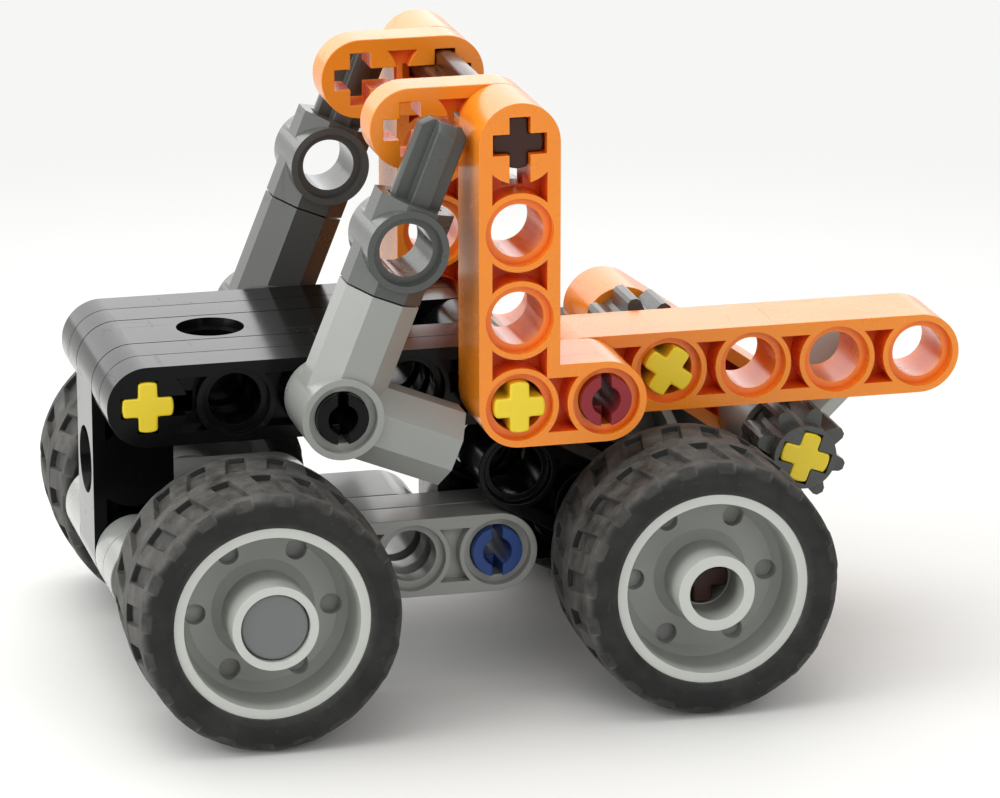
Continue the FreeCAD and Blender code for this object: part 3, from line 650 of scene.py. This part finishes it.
def dress_cad_nodes():
    slots = {entry["node"]: entry["material_slot"] for entry in frame["record"]["subparts"]}
    for name, thing in nodes.items():
        thing.data.materials.clear()
        finish = MATERIALS[slots[name]]
        if name == "front_axle":
            finish = CAP_GREY
        if name.endswith("_rim"):
            finish = RIM_GREY
        thing.data.materials.append(finish)
        normals = thing.data.attributes.get("custom_normal")
        if normals:
            thing.data.attributes.remove(normals)
        thing.data.shade_smooth()
        round_edges(thing, edge_width(name, slots[name]))


# Floor, backdrop and light. The fades of the backdrop are distances from the middle of the floor, and
# those of the room are the cosine to its brightest side.
FLOOR_HALF = 3.0
FLOOR_TONES = ((0.80, 0.80, 0.785, 1), (0.825, 0.825, 0.815, 1))
FLOOR_ROUGHNESS = 0.7
FLOOR_SHINE = 0.2
FLOOR_SCALE = 9.0
BACKDROP = (0.925, 0.925, 0.91, 1)
BACKDROP_FADE = (0.07, 0.20)
ROOM_DARK = (0.10, 0.10, 0.10, 1)
ROOM_BRIGHT = (0.93, 0.93, 0.92, 1)
ROOM_FADE = (-0.45, 0.35)
ROOM_BRIGHTEST = (-0.50, 0.60, 0.62)
ROOM_STRENGTH = 0.92


def make_floor():
    """A white card that fades into an even pale background away from the object."""
    mesh = bpy.data.meshes.new("table")
    signs = ((-1, -1), (1, -1), (1, 1), (-1, 1))
    corners = [(FLOOR_HALF * along, FLOOR_HALF * across, 0) for along, across in signs]
    mesh.from_pydata(corners, [], [(0, 1, 2, 3)])
    floor = add_object("table", mesh)
    material, tree, shader = new_material("white_card")
    shader.inputs["Roughness"].default_value = FLOOR_ROUGHNESS
    shader.inputs["Specular IOR Level"].default_value = FLOOR_SHINE
    place = tree.nodes.new("ShaderNodeTexCoord")
    tone = noise(tree, FLOOR_SCALE, 2.0)
    tree.links.new(place.outputs["Object"], tone.inputs["Vector"])
    colours = mix_colour(tree)
    colours.inputs["A"].default_value = FLOOR_TONES[0]
    colours.inputs["B"].default_value = FLOOR_TONES[1]
    tree.links.new(tone.outputs["Fac"], colours.inputs["Factor"])
    tree.links.new(colours.outputs["Result"], shader.inputs["Base Color"])
    away = tree.nodes.new("ShaderNodeVectorMath")
    away.operation = "LENGTH"
    tree.links.new(place.outputs["Object"], away.inputs[0])
    far = ramp(tree, *BACKDROP_FADE)
    far.interpolation_type = "SMOOTHSTEP"
    tree.links.new(away.outputs["Value"], far.inputs["Value"])
    share = math_node(tree, "MULTIPLY")
    tree.links.new(far.outputs[0], share.inputs[0])
    tree.links.new(seen_directly(tree), share.inputs[1])
    backdrop = tree.nodes.new("ShaderNodeEmission")
    backdrop.inputs["Color"].default_value = BACKDROP
    blend = tree.nodes.new("ShaderNodeMixShader")
    tree.links.new(share.outputs[0], blend.inputs["Fac"])
    tree.links.new(shader.outputs[0], blend.inputs[1])
    tree.links.new(backdrop.outputs[0], blend.inputs[2])
    tree.links.new(blend.outputs[0], tree.nodes["Material Output"].inputs["Surface"])
    floor.data.materials.append(material)


def make_world():
    """A pale room: bright above, behind and to the left, darker towards the viewer."""
    world = bpy.data.worlds.new("pale_room")
    bpy.context.scene.world = world
    world.use_nodes = True
    tree = world.node_tree
    tree.nodes.clear()
    output = tree.nodes.new("ShaderNodeOutputWorld")
    place = tree.nodes.new("ShaderNodeTexCoord")
    towards = tree.nodes.new("ShaderNodeVectorMath")
    towards.operation = "DOT_PRODUCT"
    towards.inputs[1].default_value = ROOM_BRIGHTEST
    tree.links.new(place.outputs["Generated"], towards.inputs[0])
    bright = ramp(tree, *ROOM_FADE)
    tree.links.new(towards.outputs["Value"], bright.inputs["Value"])
    room = mix_colour(tree)
    room.inputs["A"].default_value = ROOM_DARK
    room.inputs["B"].default_value = ROOM_BRIGHT
    tree.links.new(bright.outputs[0], room.inputs["Factor"])
    soft = tree.nodes.new("ShaderNodeBackground")
    soft.inputs["Strength"].default_value = ROOM_STRENGTH
    plain = tree.nodes.new("ShaderNodeBackground")
    plain.inputs["Strength"].default_value = 1.0
    choose = tree.nodes.new("ShaderNodeMixShader")
    tree.links.new(room.outputs["Result"], soft.inputs["Color"])
    tree.links.new(room.outputs["Result"], plain.inputs["Color"])
    tree.links.new(seen_directly(tree), choose.inputs["Fac"])
    tree.links.new(soft.outputs[0], choose.inputs[1])
    tree.links.new(plain.outputs[0], choose.inputs[2])
    tree.links.new(choose.outputs[0], output.inputs["Surface"])


def area_lamp(name, place, size, power, colour):
    data = bpy.data.lights.new(name, "AREA")
    data.shape = "RECTANGLE"
    data.size, data.size_y = size
    data.energy = power
    data.color = colour
    lamp = bpy.data.objects.new(name, data)
    lamp.location = place
    lamp.rotation_euler = (Vector(LAMP_AIM) - Vector(place)).to_track_quat("-Z", "Y").to_euler()
    bpy.context.scene.collection.objects.link(lamp)


# Each lamp's name, place, size, power and colour. They all look at one place.
LAMP_AIM = (0, 0, 0.02)
LAMPS = (
    ("overhead_softbox", (-0.12, 0.10, 0.60), (0.7, 0.6), 2.1, (1.0, 0.99, 0.97)),
    ("left_softbox", (-0.6, -0.10, 0.30), (0.5, 0.5), 1.7, (1, 1, 1)),
    ("front_fill", (0.15, -0.7, 0.35), (0.5, 0.35), 1.5, (1, 1, 1)),
    ("back_window", (0.05, 0.75, 0.30), (0.9, 0.45), 1.5, (1, 1, 1)),
)

make_camera()
dress_cad_nodes()
make_wheels()
make_floor()
make_world()
for lamp_row in LAMPS:
    area_lamp(*lamp_row)
bpy.context.scene.view_settings.view_transform = "Standard"
